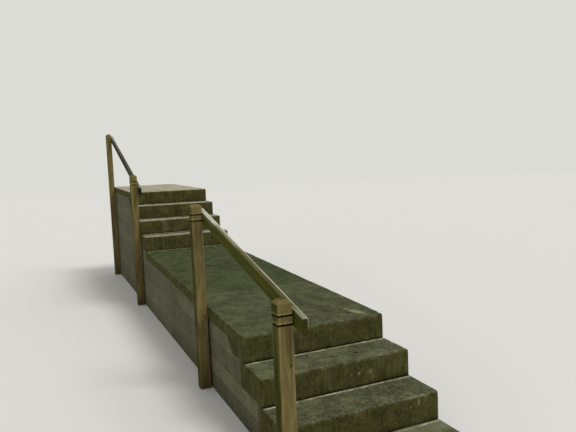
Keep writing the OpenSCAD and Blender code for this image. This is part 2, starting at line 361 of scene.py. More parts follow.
def new_group(name, kind, inputs, outputs):
    """A node group with its sockets, the values that it is given and those that it gives."""
    tree = bpy.data.node_groups.new(name, kind)
    for way, sockets in (("INPUT", inputs), ("OUTPUT", outputs)):
        for socket, socket_type in sockets.items():
            tree.interface.new_socket(socket, in_out=way, socket_type=socket_type)
    return tree, tree.nodes.new("NodeGroupInput").outputs, tree.nodes.new("NodeGroupOutput").inputs


def use_group(tree, name, values):
    """Places a shader group and links or sets its inputs."""
    return add_node(tree, "ShaderNodeGroup", values, node_tree=bpy.data.node_groups[name])


def moved(tree, flow, offset):
    """Geometry with its points moved."""
    return result(tree, "GeometryNodeSetPosition", {"Geometry": flow, "Offset": offset})


def along_normal(tree, amount):
    """The normal, scaled."""
    normal = result(tree, "GeometryNodeInputNormal")
    return result(
        tree, "ShaderNodeVectorMath", {0: normal, "Scale": amount}, operation="SCALE")


def end_tree(tree, flow, given, gives):
    """Ends a Geometry Nodes tree in realised instances that carry the finish."""
    flow = result(tree, "GeometryNodeRealizeInstances", {"Geometry": flow})
    flow = result(
        tree, "GeometryNodeSetMaterial", {"Geometry": flow, "Material": given["Finish"]})
    tree.links.new(flow, gives["Geometry"])
    return tree


# Objects and meshes

def linked(name, data):
    """A new object in the scene."""
    item = bpy.data.objects.new(name, data)
    bpy.context.scene.collection.objects.link(item)
    return item


def evaluated_mesh(item):
    """A new mesh of an object as its modifiers make it."""
    bpy.context.view_layer.update()
    graph = bpy.context.evaluated_depsgraph_get()
    return bpy.data.meshes.new_from_object(item.evaluated_get(graph), depsgraph=graph)


def run_tree(mesh, tree, values):
    """Runs a Geometry Nodes tree on a mesh, its inputs set by name, and returns the new mesh."""
    holder = linked("holder", mesh)
    modifier = holder.modifiers.new(tree.name, "NODES")
    modifier.node_group = tree
    for item in tree.interface.items_tree:
        if item.item_type == "SOCKET" and item.in_out == "INPUT" and item.name in values:
            modifier[item.identifier] = values[item.name]
    made = evaluated_mesh(holder)
    holder.modifiers.clear()
    bpy.data.objects.remove(holder)
    return made


def new_piece(name, mesh, replaced=()):
    """Links a finished mesh as a piece of the steps."""
    mesh.name = name
    piece = linked(name, mesh)
    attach(piece, BODY)
    if replaced:
        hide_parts(*replaced)
    return piece


def points_of(mesh):
    """The vertices of a mesh as an array."""
    flat = np.zeros(len(mesh.vertices) * 3)
    mesh.vertices.foreach_get("co", flat)
    return flat.reshape(-1, 3)


def store(mesh, name, values, kind="FLOAT", domain="POINT"):
    """Keeps one value for each vertex or face under a name."""
    made = mesh.attributes.new(name, kind, domain)
    field = "vector" if kind == "FLOAT_VECTOR" else "value"
    made.data.foreach_set(field, np.asarray(values, np.float32).ravel())


def face_outwards(source, target, merge_gap=0.0):
    """Writes a mesh into another, its near points merged and its faces turned outwards."""
    shape = bmesh.new()
    shape.from_mesh(source)
    if merge_gap:
        bmesh.ops.remove_doubles(shape, verts=shape.verts, dist=merge_gap)
    bmesh.ops.recalc_face_normals(shape, faces=shape.faces)
    shape.to_mesh(target)
    shape.free()


def middle_of(node):
    """The middle of a node's box."""
    low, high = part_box(node)
    return [(a + b) / 2 for a, b in zip(low, high)]


def spot(gap, radius):
    """Strength of a round spot: full near its middle, and gone just past its radius."""
    full, fall = 1.5, 1.2
    return np.clip(full - fall * gap / radius, 0, 1)


# Shader groups

def sand_group():
    """Fine sand, stones and air holes of a cast face, as tone and height."""
    tree, given, gives = new_group(
        "Sandy face", "ShaderNodeTree",
        {"Vector": VECTOR, "Grain Size": FLOAT, "Holes": FLOAT},
        {"Tone": FLOAT, "Height": FLOAT, "Hole": FLOAT, "Crumb": FLOAT})
    place = given["Vector"]
    size = given["Grain Size"]
    stone_size = 0.30
    stone_tone = 0.26
    hole_size = 30.0
    # Cells whose random value lies below this have no hole
    holed = 0.62
    largest_hole = 0.20
    hole_edge = 0.02

    # Scale as a share of the grain size, detail, roughness, seed and reach of the tone
    noises = ((1.0, 3.0, 0.7, 0.0, 0.14), (0.22, 2.0, 0.6, 4.0, 0.17), (0.11, 3.0, 0.75, 8.0, 0.21))
    values = [
        noise(tree, place, product(tree, size, share), detail, rough, seed)
        for share, detail, rough, seed, _ in noises
    ]
    tones = [tone_of(tree, value, row[-1], NOISE_RANGE) for value, row in zip(values, noises)]
    fine, coarse, crumb = values
    stones = add_node(
        tree, "ShaderNodeTexVoronoi", {"Vector": place, "Scale": product(tree, size, stone_size)},
        feature="F1")
    speck = ramp(tree, stones["Distance"], (0.12, 0.36), FADING)
    pick = add_node(tree, "ShaderNodeSeparateColor", {0: stones["Color"]})[0]
    pale = product(tree, speck, ramp(tree, pick, (0.80, 0.92)), stone_tone)
    dark = product(tree, speck, ramp(tree, pick, (0.06, 0.18), FADING), -stone_tone)
    holes = add_node(
        tree, "ShaderNodeTexVoronoi", {"Vector": place, "Scale": hole_size}, feature="F1")
    hole_pick = add_node(tree, "ShaderNodeSeparateColor", {0: holes["Color"]})[1]
    reach = product(tree, ramp(tree, hole_pick, (holed, 1.0)), largest_hole)
    edge = maths(tree, "SUBTRACT", holes["Distance"], reach)
    hole = product(
        tree, ramp(tree, edge, (-hole_edge, hole_edge), FADING),
        ramp(tree, hole_pick, (holed, holed + 0.04)), given["Holes"])
    # Share of each part in the height
    height = total(
        tree, product(tree, fine, 0.5), product(tree, coarse, 0.7), product(tree, hole, -1.6))
    for name, value in (("Tone", total(tree, *tones, pale, dark)), ("Height", height),
                        ("Hole", hole), ("Crumb", crumb)):
        tree.links.new(value, gives[name])


def stain_group():
    """Slow stains of two sizes, and streaks that run down upright faces."""
    tree, given, gives = new_group(
        "Stains", "ShaderNodeTree", {"Vector": VECTOR, "Size": FLOAT, "Seed": FLOAT},
        {"Broad": FLOAT, "Patchy": FLOAT, "Streak": FLOAT, "Thin Streak": FLOAT})
    place = given["Vector"]
    down = stretched(tree, place, 0.055)
    # Output, coordinates, scale, detail, roughness, and the range that the output is drawn from
    for name, vector, scale, detail, rough, source in (
            ("Broad", place, 1.6, 4.0, 0.55, (0.32, 0.68)),
            ("Patchy", place, 9.0, 5.0, 0.62, (0.36, 0.66)),
            ("Streak", down, 34.0, 3.0, 0.6, (0.38, 0.66)),
            ("Thin Streak", down, 95.0, 2.0, 0.5, (0.52, 0.74))):
        value = noise(
            tree, vector, product(tree, given["Size"], scale), detail, rough, given["Seed"])
        tree.links.new(ramp(tree, value, source), gives[name])


def wood_group():
    """Year rings and fibres, from the piece's own grain coordinates."""
    tree, given, gives = new_group(
        "Pine grain", "ShaderNodeTree", {"Grain": VECTOR, "Ring Pitch": FLOAT, "Seed": FLOAT},
        {"Late": FLOAT, "Fibre": FLOAT, "Board": FLOAT, "Line": FLOAT})
    grain = given["Grain"]
    seed = given["Seed"]
    ring_waver = 0.030
    warp = noise(tree, stretched(tree, grain, 0.12), 9.0, 2.0, 0.5, seed)
    radius = add_node(
        tree, "ShaderNodeVectorMath", {0: stretched(tree, grain, 0.0)}, operation="LENGTH")["Value"]
    radius = total(tree, radius, product(tree, warp, ring_waver))
    ring = maths(tree, "FRACT", maths(tree, "DIVIDE", radius, given["Ring Pitch"]))
    # A ring darkens slowly and ends sharply
    late = maths(
        tree, "SUBTRACT", ramp(tree, ring, (0.30, 0.84)), ramp(tree, ring, (0.88, 1.0)))
    tree.links.new(late, gives["Late"])
    # Output, share of the scale along the grain, scale, roughness, and the output's source range
    for name, along, scale, rough, source in (
            ("Fibre", 0.018, 620.0, 0.65, (0.34, 0.68)),
            ("Line", 0.010, 170.0, 0.6, (0.36, 0.64)),
            ("Board", 0.2, 16.0, 0.6, (0.36, 0.66))):
        value = noise(tree, stretched(tree, grain, along), scale, 3.0, rough, seed)
        tree.links.new(ramp(tree, value, source), gives[name])


# Materials

def new_material(name):
    """An empty node material and its tree."""
    material = bpy.data.materials.new(name)
    material.use_nodes = True
    material.node_tree.nodes.clear()
    return material, material.node_tree


def surface(tree, base, roughness, height, bump, depth, gloss, metallic=0.0):
    """Ends a material in a Principled shader with bump."""
    normal = result(
        tree, "ShaderNodeBump", {"Height": height, "Strength": bump, "Distance": depth})
    shader = result(
        tree, "ShaderNodeBsdfPrincipled",
        {"Base Color": base, "Roughness": roughness, "Normal": normal,
         "Specular IOR Level": gloss, "Metallic": metallic})
    add_node(tree, "ShaderNodeOutputMaterial", {"Surface": shader})


def object_place(tree):
    """Object coordinates."""
    return add_node(tree, "ShaderNodeTexCoord")["Object"]


def cast_face(tree, grain_size, stain_size, seed):
    """The sand and the stains of a cast face."""
    place = object_place(tree)
    face = use_group(tree, "Sandy face", {"Vector": place, "Grain Size": grain_size, "Holes": 1.0})
    stain = use_group(tree, "Stains", {"Vector": place, "Size": stain_size, "Seed": seed})
    return place, face, stain


def concrete_material(settings):
    """Weathered cast concrete: grey-green tops, pale tops partly painted as sunlit, streaked brown
    risers, pocked pale arrises, and a painted shadow line at the foot of each riser.
    """
    material, tree = new_material("Weathered concrete")
    _, face, stain = cast_face(tree, grain_size=420.0, stain_size=1.0, seed=2.0)
    crumb, patchy, broad = face["Crumb"], stain["Patchy"], stain["Broad"]
    upward = ramp(tree, attribute(tree, "upward"), (0.62, 0.95))
    upright = rest_of(tree, upward)
    seam, rim, bleach_and_painted_light = [attribute(tree, name) for name in ("seam", "rim", "bleach_and_painted_light")]
    # Distances from the foot of a riser over which the darker back of a tread, dust, the darker
    # foot of a riser and the painted shadow line at its foot thin out
    back_edge = (0.08, 0.19)
    dust_edge = (0.010, 0.050)
    darker_foot_edge = (0.0, 0.032)
    shadow_line_edge = (0.003, 0.010)
    # Distances from a joint between slabs over which its dirt thins out
    joint_edge = (0.001, 0.007)

    # A tread's front is pale, partly weathered and partly painted sunlight, and its back part is
    # darker
    front = ramp(tree, seam, back_edge)
    darker_back = product(tree, bleach_and_painted_light, rest_of(tree, front), 0.40)
    top = layered(tree, settings.tread, (
        (product(tree, bleach_and_painted_light, front), settings.bleached_and_lit), (darker_back, settings.dirt_and_shade)))
    growth = product(
        tree, attribute(tree, "growth"), upward, ramp(tree, crumb, CRUMB_RANGE, (0.72, 1.25)))
    thin_growth = product(tree, broad, ramp(tree, bleach_and_painted_light, UNIT, (0.24, 0.10)))
    base = layered(tree, settings.riser, (
        (upward, top), (total(tree, thin_growth, growth), settings.algae)))
    clouds = total(
        tree, tone_of(tree, patchy, 0.05), tone_of(tree, broad, 0.11),
        tone_of(tree, crumb, 0.10, CRUMB_RANGE))
    base = toned(
        tree, base, tone_of(tree, patchy, 0.17),
        product(tree, tone_of(tree, stain["Streak"], 0.11), upright),
        product(tree, clouds, upward), face["Tone"])
    thin = product(
        tree, stain["Thin Streak"], upright, ramp(tree, patchy, (0.4, 1.0), (0.02, 0.28)))
    # Along the arrises the face is rubbed pale and pocked
    rubbed = product(
        tree, rim, ramp(tree, crumb, (0.50, 0.62), (0.0, 0.30)), ramp(tree, patchy, (0.35, 0.85)))
    pocked = product(tree, rim, ramp(tree, crumb, (0.34, 0.42), (0.60, 0.0)))
    # Dust lies at the back of each tread, and each riser is darker towards its foot
    dust = product(
        tree, ramp(tree, seam, dust_edge, FADING), upward,
        ramp(tree, crumb, (0.30, 0.60), (0.10, 0.75)), rest_of(tree, bleach_and_painted_light))
    darker_foot = product(tree, ramp(tree, seam, darker_foot_edge, (0.42, 0.0)), upright)
    base = layered(tree, base, (
        (thin, settings.pale),
        (rubbed, settings.pale),
        (pocked, settings.dirt_and_shade),
        (product(tree, attribute(tree, "chipped"), 0.22), settings.pale),
        (dust, settings.pale),
        (darker_foot, settings.dirt_and_shade),
        # A painted shadow line right at the foot of each riser
        (ramp(tree, seam, shadow_line_edge, (0.92, 0.0)), settings.dirt_and_shade),
        (ramp(tree, attribute(tree, "joint"), joint_edge, (0.80, 0.0)), settings.dirt_and_shade),
        (product(tree, face["Hole"], 0.8), settings.dirt_and_shade),
        (attribute(tree, "mark_stain"), settings.stain),
        (attribute(tree, "mark_pale"), settings.pale),
        (attribute(tree, "mark_dark"), settings.dirt_and_shade),
    ))
    rough = ramp(tree, patchy, UNIT, (0.80, 0.95))
    surface(tree, base, rough, face["Height"], bump=0.55, depth=settings.pitting, gloss=0.03)
    return material


def wall_material(settings):
    """Rough cast concrete of the walls, with the marks of the shutter boards."""
    material, tree = new_material("Board marked concrete")
    place, face, stain = cast_face(tree, grain_size=300.0, stain_size=0.8, seed=9.0)
    apart = add_node(tree, "ShaderNodeSeparateXYZ", {0: place})
    above_floor = apart["Z"]
    # A wall runs along X or along Y, so their sum runs along every wall
    run = total(tree, apart["X"], apart["Y"])
    # Keeps the random numbers of the rows apart
    row_step = 17.0
    # Height of the dirty foot of a wall
    foot_height = 0.22
    # Where the fin of mortar begins and is full between rows and between the ends of boards, as
    # shares of a board's height and length from its middle
    row_fin = (0.470, 0.495)
    end_fin = (0.4968, 0.4990)

    def random_value(number):
        return result(tree, "ShaderNodeTexWhiteNoise", {"W": number}, noise_dimensions="1D")

    def off_middle(value):
        return maths(tree, "ABSOLUTE", maths(tree, "SUBTRACT", maths(tree, "FRACT", value), 0.5))

    rows = maths(tree, "DIVIDE", above_floor, settings.board_height)
    row = maths(tree, "FLOOR", rows)
    boards = total(tree, maths(tree, "DIVIDE", run, settings.board_length), random_value(row))
    shade = random_value(
        total(tree, maths(tree, "FLOOR", boards), product(tree, row, row_step)))
    fin = maths(
        tree, "MAXIMUM", ramp(tree, off_middle(rows), row_fin),
        ramp(tree, off_middle(boards), end_fin))
    saw_place = result(
        tree, "ShaderNodeCombineXYZ", {"X": product(tree, run, 0.03), "Z": above_floor})
    saw = noise(tree, saw_place, 150.0, 3.0, 0.6, 1.0)
    base = mix_colour(
        tree, product(tree, stain["Broad"], 0.4), settings.wall, settings.algae)
    base = toned(
        tree, base, tone_of(tree, shade, 0.13), tone_of(tree, stain["Streak"], 0.065),
        tone_of(tree, stain["Patchy"], 0.08), tone_of(tree, saw, 0.09, NOISE_RANGE),
        product(tree, face["Tone"], 0.8))
    foot = product(
        tree, ramp(tree, above_floor, (0.0, foot_height), (0.5, 0.0)), stain["Patchy"])
    base = layered(tree, base, (
        (foot, settings.dirt_and_shade), (product(tree, face["Hole"], 0.8), settings.dirt_and_shade),
        (product(tree, fin, 0.5), settings.dirt_and_shade)))
    height = total(tree, face["Height"], product(tree, saw, 1.1), product(tree, fin, 1.2))
    surface(tree, base, 0.92, height, bump=0.6, depth=0.004, gloss=0.12)
    return material


def lime_material(settings):
    """Pale lime and dust along the joints."""
    material, tree = new_material("Lime line")
    place = object_place(tree)
    face = use_group(tree, "Sandy face", {"Vector": place, "Grain Size": 380.0})
    patch = noise(tree, place, 14.0, 5.0, 0.7)
    base = mix_colour(
        tree, ramp(tree, patch, (0.36, 0.62), (0.05, 1.0)), settings.tread, settings.lime)
    surface(
        tree, toned(tree, base, face["Tone"]), 0.95, face["Height"], bump=0.6, depth=0.003,
        gloss=0.12)
    return material


def wood_material(name, settings, kind, pitch, seed):
    """Weathered softwood: rings and fibres, bleached tops with painted sunlight, rubbed arrises with
    painted highlights, dirty grooves with painted shade, and green sides with painted shade.
    """
    material, tree = new_material(name)
    pale, late, algae, worn, end = [
        getattr(settings, kind + part) for part in ("_pale", "_late", "_algae", "_worn", "_end")]
    wood = use_group(
        tree, "Pine grain",
        {"Grain": attribute(tree, "grain", "Vector"), "Ring Pitch": pitch, "Seed": seed})
    fibre, board, line = wood["Fibre"], wood["Board"], wood["Line"]
    base = mix_colour(tree, product(tree, wood["Late"], 0.34), pale, late)
    base = toned(
        tree, base, tone_of(tree, fibre, 0.08), tone_of(tree, board, 0.20),
        tone_of(tree, line, 0.05))
    # Shaded sides are painted green and dark: growth, and painted shade
    green_and_shade = product(
        tree, ramp(tree, attribute(tree, "shaded"), (0.3, 0.9)), ramp(tree, board, UNIT, (0.98, 0.68)))
    bleached_and_lit = product(
        tree, attribute(tree, "bleach_and_painted_light"), ramp(tree, line, (0.10, 0.60), (0.22, 1.0)))
    rubbed = product(tree, attribute(tree, "arris"), ramp(tree, board, UNIT, (0.35, 0.85)))
    # The worn colour paints bleached tops with painted sunlight and rubbed arrises with painted
    # highlights
    base = layered(tree, base, (
        (green_and_shade, algae),
        (product(tree, attribute(tree, "endwise"), 0.85), end),
        (bleached_and_lit, worn),
        (rubbed, worn),
        (product(tree, attribute(tree, "low"), 0.5), settings.knot),
        (product(tree, attribute(tree, "knot"), 0.85), settings.knot),
        # Dark in the cracks, dirt and painted shade in the grooves, painted shadow beside the posts
        (product(tree, attribute(tree, "check"), 0.95), settings.dirt_and_shade),
    ))
    height = total(tree, fibre, product(tree, wood["Late"], 0.8), line)
    rough = ramp(tree, fibre, UNIT, (0.88, 0.72))
    surface(tree, base, rough, height, bump=0.5, depth=0.0016, gloss=0.04)
    return material


def metal_material(settings):
    """Dulled zinc of the bolts."""
    material, tree = new_material("Dulled zinc")
    spangle = noise(tree, object_place(tree), 260.0, 3.0, 0.6)
    base = toned(tree, settings.metal, ramp(tree, spangle, NOISE_RANGE, (-0.25, 0.15)))
    rough = ramp(tree, spangle, NOISE_RANGE, (0.45, 0.7))
    surface(tree, base, rough, spangle, bump=0.3, depth=0.0005, gloss=0.12, metallic=0.8)
    return material


# Worn castings

# Points of a frame's mesh nearer than this are one point
MERGE_GAP = 1e-5
# An edge bent by more than this is an arris
ARRIS_ANGLE = math.radians(30)
# Slabs whose ends lie nearer than this touch, and an arris this near their joint lies in it
TOUCHING = 1e-4
JOINT_REACH = 0.009
# How far from the ends of a piece, and from a nosing or joint, its top level is looked for
END_REACH = 0.03
NOSING_REACH = 0.02
# Steps between the seeds of one piece and the next
TREAD_SEED_STEP = 5
LINE_SEED_STEP = 3


def worn_casting_tree():
    """Wears a dense casting: slow waves, chips along the arrises, rounded outer corners."""
    tree, given, gives = new_group(
        "Worn casting", "GeometryNodeTree",
        {"Geometry": GEOMETRY, "Unevenness": FLOAT, "Chip Depth": FLOAT, "Chip Reach": FLOAT,
         "Nibble": FLOAT, "Corner Wear": FLOAT, "Corner Reach": FLOAT, "Hollow": FLOAT,
         "Seed": FLOAT, "Finish": MATERIAL},
        {"Geometry": GEOMETRY})
    place = result(tree, "GeometryNodeInputPosition")
    # Scale, detail and roughness of the waves, lumps, broken faces and fine wear
    wave, lumps, broken, fine = [
        noise(tree, place, scale, detail, rough, given["Seed"])
        for scale, detail, rough in (
            (4.5, 2.0, 0.5), (17.0, 2.5, 0.55), (120.0, 2.0, 0.6), (75.0, 2.0, 0.6))
    ]

    def stored(name):
        return result(tree, "GeometryNodeInputNamedAttribute", {"Name": name}, data_type="FLOAT")

    rim = ramp(tree, maths(tree, "DIVIDE", stored("arris_gap"), given["Chip Reach"]), UNIT, FADING)
    corner = ramp(
        tree, maths(tree, "DIVIDE", stored("corner_gap"), given["Corner Reach"]), UNIT, FADING)
    chip = product(tree, ramp(tree, lumps, (0.58, 0.70)), rim, rest_of(tree, corner))
    depth = total(
        tree, product(tree, ramp(tree, wave, (0.25, 0.75)), given["Unevenness"]),
        product(tree, chip, given["Chip Depth"], ramp(tree, broken, NOISE_RANGE, (0.75, 1.0))),
        product(tree, fine, rim, given["Nibble"]),
        product(tree, corner, given["Corner Wear"]),
        product(tree, stored("mark_dark"), given["Hollow"]))
    normal = result(tree, "GeometryNodeInputNormal")
    upward = add_node(tree, "ShaderNodeSeparateXYZ", {0: normal})["Z"]
    flow = given["Geometry"]
    for name, value in (("upward", upward), ("rim", rim), ("chipped", chip)):
        flow = result(
            tree, "GeometryNodeStoreNamedAttribute",
            {"Geometry": flow, "Name": name, "Value": value}, data_type="FLOAT", domain="POINT")
    flow = moved(tree, flow, along_normal(tree, product(tree, depth, -1.0)))
    flow = result(tree, "GeometryNodeSetShadeSmooth", {"Geometry": flow})
    return end_tree(tree, flow, given, gives)


def sharp_edges(mesh):
    """Both ends of every arris of a closed mesh."""
    shape = bmesh.new()
    shape.from_mesh(mesh)
    found = [
        (edge.verts[0].co.copy(), edge.verts[1].co.copy())
        for edge in shape.edges
        if len(edge.link_faces) == 2 and edge.calc_face_angle() > ARRIS_ANGLE
    ]
    shape.free()
    return found


def dense_copy(mesh, spacing):
    """The same form as a fine, even mesh, its points drawn back onto the plain form."""
    plain = linked("plain", mesh)
    holder = linked("dense", mesh)
    remesh = holder.modifiers.new("Fine mesh", "REMESH")
    remesh.mode = "VOXEL"
    remesh.voxel_size = spacing
    remesh.adaptivity = 0.0
    wrap = holder.modifiers.new("Onto the form", "SHRINKWRAP")
    wrap.target = plain
    wrap.wrap_method = "NEAREST_SURFACEPOINT"
    made = evaluated_mesh(holder)
    for item in (plain, holder):
        bpy.data.objects.remove(item)
    return made


def gap_to_segments(points, segments):
    """Distance from each point to the nearest of the segments."""
    far_off = 1e3
    no_length = 1e-12
    best = np.full(len(points), far_off)
    for start, end in segments:
        a = np.array(start)
        along = np.array(end) - a
        share = np.clip((points - a) @ along / max(along @ along, no_length), 0, 1)
        best = np.minimum(best, np.linalg.norm(points - a - share[:, None] * along, axis=1))
    return best


def node_points(node):
    """The vertices of a node of the frame."""
    return points_of(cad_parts[node].data)


def level_near(node, y, reach=NOSING_REACH):
    """The highest level of a node close to a place along the run."""
    points = node_points(node)
    return points[abs(points[:, 1] - y) < reach, 2].max()


def across_box(node, y, height):
    """The line across a node's box at a place along the run."""
    low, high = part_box(node)
    return Vector((low.x, y, height)), Vector((high.x, y, height))


def riser_foot(node):
    """The line where a riser stands on the tread or slab below it."""
    low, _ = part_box(node)
    names = list(TREADS)
    below = names[names.index(node) - 1]
    # The top of the piece below is plane from its front to its back
    front, back = [bound(node_points(below)[:, 1]) for bound in (min, max)]
    front_level, back_level = [level_near(below, y, END_REACH) for y in (front, back)]
    share = (low.y - front) / (back - front)
    return across_box(node, low.y, front_level + (back_level - front_level) * share)


def slab_joints():
    """The top of each joint where one slab ends against the next."""
    joints = []
    for name in TREADS:
        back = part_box(name)[1].y
        for other in TREADS:
            touches = abs(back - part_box(other)[0].y) < TOUCHING
            if name != other and touches and other not in RISERS:
                joints.append(across_box(name, back, level_near(name, back)))
    return joints


def at_joint(segment, joints):
    """True for an arris that lies in a joint between two slabs."""
    return any(all(abs(end.y - joint[0].y) < JOINT_REACH for end in segment) for joint in joints)


def nosing_arrises(node):
    """The nosing's line, the front corners below it, and the nosing's two ends."""
    low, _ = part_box(node)
    height = level_near(node, low.y)
    left, right = across_box(node, low.y, height)
    down = Vector((0, 0, low.z - height))
    return [(left, right), (left, left + down), (right, right + down)], [left, right]


def worn_casting(node, spacing, bleach_and_painted_light, growth, tree, settings, finish, seed):
    """One worn tread or slab in place of its plain node."""
    shape = bpy.data.meshes.new(node + "_shape")
    face_outwards(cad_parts[node].data, shape, MERGE_GAP)
    joints = slab_joints()
    arrises = [edge for edge in sharp_edges(shape) if not at_joint(edge, joints)]
    corners = []
    if node in RISERS:
        front, corners = nosing_arrises(node)
        arrises += front
    mesh = dense_copy(shape, spacing)
    points = points_of(mesh)
    gaps = {
        "arris_gap": arrises, "corner_gap": [(corner, corner) for corner in corners],
        "seam": [riser_foot(name) for name in RISERS], "joint": joints,
    }
    for name, segments in gaps.items():
        store(mesh, name, gap_to_segments(points, segments))
    for name, value in (("bleach_and_painted_light", bleach_and_painted_light), ("growth", growth)):
        store(mesh, name, np.full(len(points), value))
    for kind in ("mark_pale", "mark_dark", "mark_stain"):
        strength = np.zeros(len(points))
        for start, end, radius, share in MARKS.get((node, kind), []):
            gap = gap_to_segments(points, [(start, end)])
            strength = np.maximum(strength, share * spot(gap, radius))
        store(mesh, kind, strength)
    worn = run_tree(mesh, tree, {
        "Unevenness": settings.unevenness, "Chip Depth": settings.chip_depth,
        "Chip Reach": settings.chip_reach, "Nibble": settings.nibble,
        "Corner Wear": settings.corner_wear if corners else 0.0,
        "Corner Reach": settings.corner_reach, "Hollow": settings.hollow,
        "Seed": float(settings.seed + seed), "Finish": finish,
    })
    return new_piece("worn_" + node, worn, [node])


# Lime lines

def lime_line_tree():
    """A low wandering line of lime and dust along a joint."""
    tree, given, gives = new_group(
        "Lime line", "GeometryNodeTree",
        {"Geometry": GEOMETRY, "Start": VECTOR, "End": VECTOR, "Width": FLOAT, "Height": FLOAT,
         "Wander": FLOAT, "Crumbs": FLOAT, "Seed": FLOAT, "Finish": MATERIAL},
        {"Geometry": GEOMETRY})
    step = 0.007
    ring_points = 10
    place = result(tree, "GeometryNodeInputPosition")
    # Scale, detail and roughness of the drift, the swelling and the crumbs
    drift, swell, crumbs = [
        noise(tree, place, scale, detail, rough, given["Seed"])
        for scale, detail, rough in ((9.0, 3.0, 0.6), (21.0, 3.0, 0.7), (130.0, 2.0, 0.6))
    ]
    line = result(
        tree, "GeometryNodeCurvePrimitiveLine", {"Start": given["Start"], "End": given["End"]})
    line = result(tree, "GeometryNodeResampleCurve", {"Curve": line, "Length": step}, mode="LENGTH")
    sideways = product(tree, tone_of(tree, drift, 1.0, NOISE_RANGE), given["Wander"])
    line = moved(tree, line, result(tree, "ShaderNodeCombineXYZ", {"Y": sideways}))
    ring = result(
        tree, "GeometryNodeCurvePrimitiveCircle", {"Resolution": ring_points, "Radius": 1.0},
        mode="RADIUS")
    size = result(
        tree, "ShaderNodeCombineXYZ",
        {"X": product(tree, given["Width"], 0.5), "Y": given["Height"], "Z": 1.0})
    ring = result(tree, "GeometryNodeTransform", {"Geometry": ring, "Scale": size})
    tube = result(
        tree, "GeometryNodeCurveToMesh",
        {"Curve": line, "Profile Curve": ring, "Fill Caps": True,
         "Scale": ramp(tree, swell, NOISE_RANGE, (0.35, 1.0))})
    inward = product(tree, ramp(tree, crumbs, NOISE_RANGE, (-1.0, 0.0)), given["Crumbs"])
    return end_tree(tree, moved(tree, tube, along_normal(tree, inward)), given, gives)


def lime_line(node, tree, settings, finish, seed):
    """The line in front of one riser, lying on the tread below it."""
    left, right = riser_foot(node)
    end_gap = Vector((settings.end_gap, 0, 0))
    forward = Vector((0, settings.gap + settings.width / 2 + settings.wander, 0))
    made = run_tree(bpy.data.meshes.new("holder"), tree, {
        "Start": left - forward + end_gap, "End": right - forward - end_gap,
        "Width": settings.width, "Height": settings.height, "Wander": settings.wander,
        "Crumbs": settings.crumbs, "Seed": float(settings.seed + seed), "Finish": finish,
    })
    return new_piece("lime_line_" + node, made)


# Timber

# Outward directions of a timber's sides: its front, its right, its back and its left
SIDES = [(0, -1), (1, 0), (0, 1), (-1, 0)]
# The back is a rail's top
RAIL_TOP = 2
# Spacing of the mesh across and along the posts and the rails
POST_MESH = (0.009, 0.014)
RAIL_MESH = (0.0075, 0.016)
CORNER_STEPS = 4
# Sizes of the rings that close an end, as shares of the section
END_RINGS = (0.93, 0.7, 0.4, 0.15)
# Depth of the furrows between fibres, and the bend of the sides that stays sharp
FURROW = 0.0005
SHARP_ANGLE = math.radians(32)
# Lines closer to a crack than this are left out, and new ones stand beside it
CHECK_CLEAR = 0.0065
CHECK_SIDE = 0.004
# Room between cracks, and between a crack and a corner
CHECK_ROOM = 0.014
# Half width of a crack where it runs out, and how far it wanders sideways
CHECK_TIP = 0.00008
CHECK_WANDER = 0.0016
# Lengths closer than this are the same
HAIR = 1e-6
# Height of the lip above a groove that is painted pale as a highlight, and the width over which
# the dirt and painted shade beside one fades
LIP = 0.004
DIRT_FADE = 0.0008
# Stations nearer to a turn of the form than this are left out
STATION_CLEAR = 0.004
# Knots are drawn out along the grain
KNOT_STRETCH = 1.35
# Height over which the foot of a timber is damp
DAMP_HEIGHT = 0.25
# How far the top faces of the posts and the rails take the green of growth and painted shade
POST_TOP_GREEN_AND_SHADE = 0.1
RAIL_TOP_GREEN_AND_SHADE = 0.6


def section_columns(half, ease, checks, spacing):
    """Lines that run along a timber: place across it, outward direction, and any crack."""
    columns = []
    for number, side in enumerate(SIDES):
        outward = Vector(side)
        along = Vector((-side[1], side[0]))
        middle = Vector((side[0] * half[0], side[1] * half[1]))
        flat = half[number % 2] - ease
        count = max(2, round(2 * flat / spacing))
        places = [(-flat + 2 * flat * i / count, None, 0) for i in range(count + 1)]
        for check in checks:
            if check["side"] == number:
                at = check["at"]
                places = [
                    p for p in places
                    if p[1] or abs(p[0] - at) > CHECK_CLEAR or abs(abs(p[0]) - flat) < HAIR
                ]
                places += [(at - CHECK_SIDE, None, 0), (at + CHECK_SIDE, None, 0)]
                places += [(at, check, role) for role in (-1, 0, 1)]
        places.sort(key=lambda p: (p[0], p[2]))
        for at, check, role in places:
            columns.append({
                "base": middle + along * at, "along": along, "out": outward, "check": check,
                "role": role, "arris": 1.0 if abs(abs(at) - flat) < HAIR else 0.0,
            })
        pivot = middle + along * flat - outward * ease
        for i in range(1, CORNER_STEPS):
            turn = math.pi / 2 * i / CORNER_STEPS
            way = outward * math.cos(turn) + along * math.sin(turn)
            columns.append({
                "base": pivot + way * ease, "along": along, "out": way, "check": None,
                "role": 0, "arris": 1.0,
            })
    return columns


def new_check(rng, side, at, start, end, width, depth):
    """One crack along a side of a timber."""
    return {
        "side": side, "at": at, "from": start, "to": end, "width": width, "depth": depth,
        "turns": rng.uniform(6, 14), "phase": rng.uniform(0, 6),
    }


